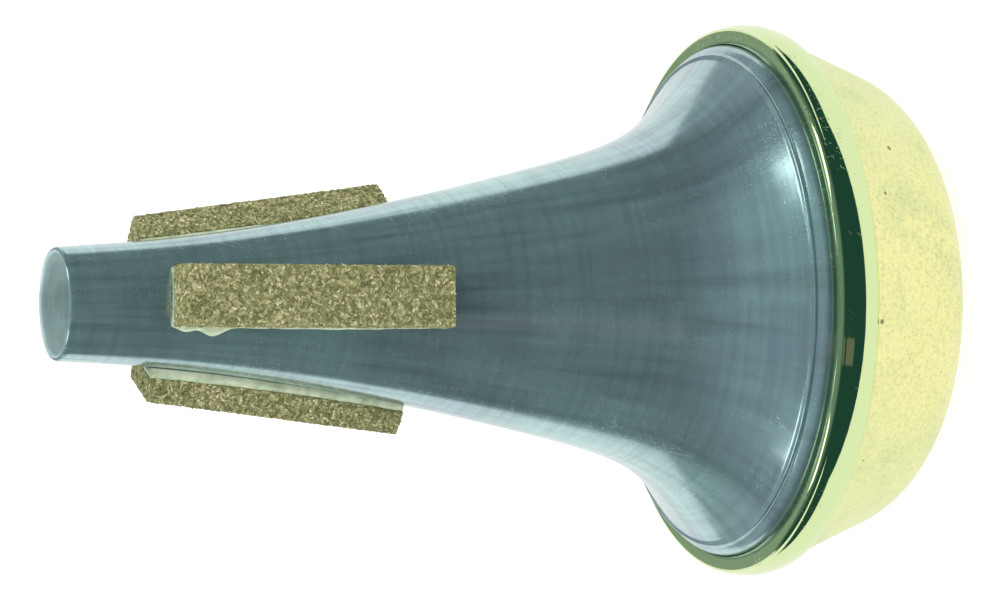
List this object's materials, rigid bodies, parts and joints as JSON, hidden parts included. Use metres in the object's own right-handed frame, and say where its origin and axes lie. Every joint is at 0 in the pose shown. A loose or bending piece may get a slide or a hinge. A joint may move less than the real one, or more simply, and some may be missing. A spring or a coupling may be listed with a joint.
{
  "type": "trumpet straight mute",
  "caption": "Straight mute for a trumpet: spun aluminium neck and flare with cork bars, closed by a hemmed brass cup.",
  "frame": {"origin": "centre of the brass cup's flat end, which the mute stands on", "axes": "+Z along the turned axis from the brass cup to the open mouth; -Y is the side that the first cork bar faces"},
  "size_m": [0.107, 0.107, 0.1692],
  "materials": {
    "aluminium": "polished, with fine scratches",
    "brass": "satin cup with a polished hem",
    "cork": "raw agglomerated cork",
    "glue": "dried contact glue, slightly glossy"
  },
  "bodies": {
    "root": {"mute_body": "aluminium", "bottom_cup": "brass", "cork_1": "cork", "cork_2": "cork", "cork_3": "cork", "cork_glue_1": "glue", "cork_glue_2": "glue", "cork_glue_3": "glue"}
  },
  "joints": []
}
